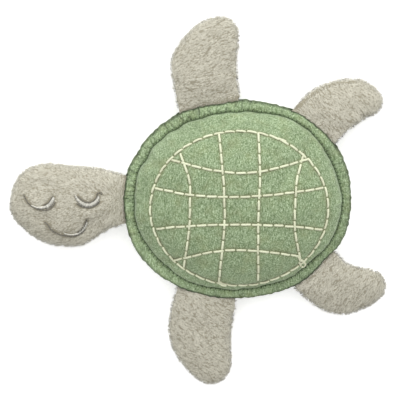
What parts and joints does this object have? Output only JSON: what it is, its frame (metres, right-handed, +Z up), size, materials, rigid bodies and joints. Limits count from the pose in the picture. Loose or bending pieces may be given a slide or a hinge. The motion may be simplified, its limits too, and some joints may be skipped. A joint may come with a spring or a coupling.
{
  "type": "catnip cat toy",
  "caption": "Stuffed plush turtle for a cat, with a felt shell stitched in a lattice, a soft head with a sleeping face, and four soft flippers sewn in round the rim.",
  "frame": {"origin": "middle of the flattened belly, on the surface that the toy lies on", "axes": "+Z up through the shell's crown, -X the way the head points, +Y the turtle's right"},
  "size_m": [0.1405, 0.1387, 0.0274],
  "materials": {
    "shell_felt": "sage green craft felt, matt and slightly mottled",
    "limb_plush": "beige short-pile plush with a visible nap",
    "embroidery_thread": "cream twisted embroidery cotton",
    "seam_thread": "dark green sewing thread",
    "face_thread": "grey embroidery thread with a slight sheen",
    "fibre_filling": "white polyester fibre",
    "dried_catnip": "crumbled dried leaf"
  },
  "bodies": {
    "shell": {"upper_shell_felt": "shell_felt", "lower_shell_felt": "shell_felt", "shell_filling": "fibre_filling", "catnip": "dried_catnip", "upper_seam_thread": "seam_thread", "lower_seam_thread": "seam_thread", "shell_embroidery": "embroidery_thread", "front_right_flipper_root_tab": "limb_plush", "front_left_flipper_root_tab": "limb_plush", "rear_right_flipper_root_tab": "limb_plush", "rear_left_flipper_root_tab": "limb_plush", "head_root_tab": "limb_plush"},
    "front_right_flipper": {"front_right_flipper_upper_plush": "limb_plush", "front_right_flipper_lower_plush": "limb_plush", "front_right_flipper_filling": "fibre_filling"},
    "front_left_flipper": {"front_left_flipper_upper_plush": "limb_plush", "front_left_flipper_lower_plush": "limb_plush", "front_left_flipper_filling": "fibre_filling"},
    "rear_right_flipper": {"rear_right_flipper_upper_plush": "limb_plush", "rear_right_flipper_lower_plush": "limb_plush", "rear_right_flipper_filling": "fibre_filling"},
    "rear_left_flipper": {"rear_left_flipper_upper_plush": "limb_plush", "rear_left_flipper_lower_plush": "limb_plush", "rear_left_flipper_filling": "fibre_filling"},
    "head": {"head_upper_plush": "limb_plush", "head_lower_plush": "limb_plush", "head_filling": "fibre_filling", "left_eye_stitches": "face_thread", "right_eye_stitches": "face_thread", "mouth_stitches": "face_thread"}
  },
  "joints": [
    {"name": "front_right_flipper_bend", "type": "hinge", "parent": "shell", "child": "front_right_flipper", "pos_m": [-0.01093, 0.03728, 0.009], "axis": [0.9752, 0.2212, 0], "range_deg": [-35, 50], "stiffness_Nm_per_rad": 0.015},
    {"name": "front_left_flipper_bend", "type": "hinge", "parent": "shell", "child": "front_left_flipper", "pos_m": [-0.01188, -0.03705, 0.009], "axis": [-0.9705, 0.2409, 0], "range_deg": [-35, 50], "stiffness_Nm_per_rad": 0.015},
    {"name": "rear_right_flipper_bend", "type": "hinge", "parent": "shell", "child": "rear_right_flipper", "pos_m": [0.03001, 0.02802, 0.009], "axis": [0.7697, -0.6385, 0], "range_deg": [-35, 50], "stiffness_Nm_per_rad": 0.01},
    {"name": "rear_left_flipper_bend", "type": "hinge", "parent": "shell", "child": "rear_left_flipper", "pos_m": [0.02934, -0.02856, 0.009], "axis": [-0.7826, -0.6225, 0], "range_deg": [-35, 50], "stiffness_Nm_per_rad": 0.01},
    {"name": "head_bend", "type": "hinge", "parent": "shell", "child": "head", "pos_m": [-0.04375, 0, 0.009], "axis": [0, 1, 0], "range_deg": [-35, 50], "stiffness_Nm_per_rad": 0.03}
  ]
}
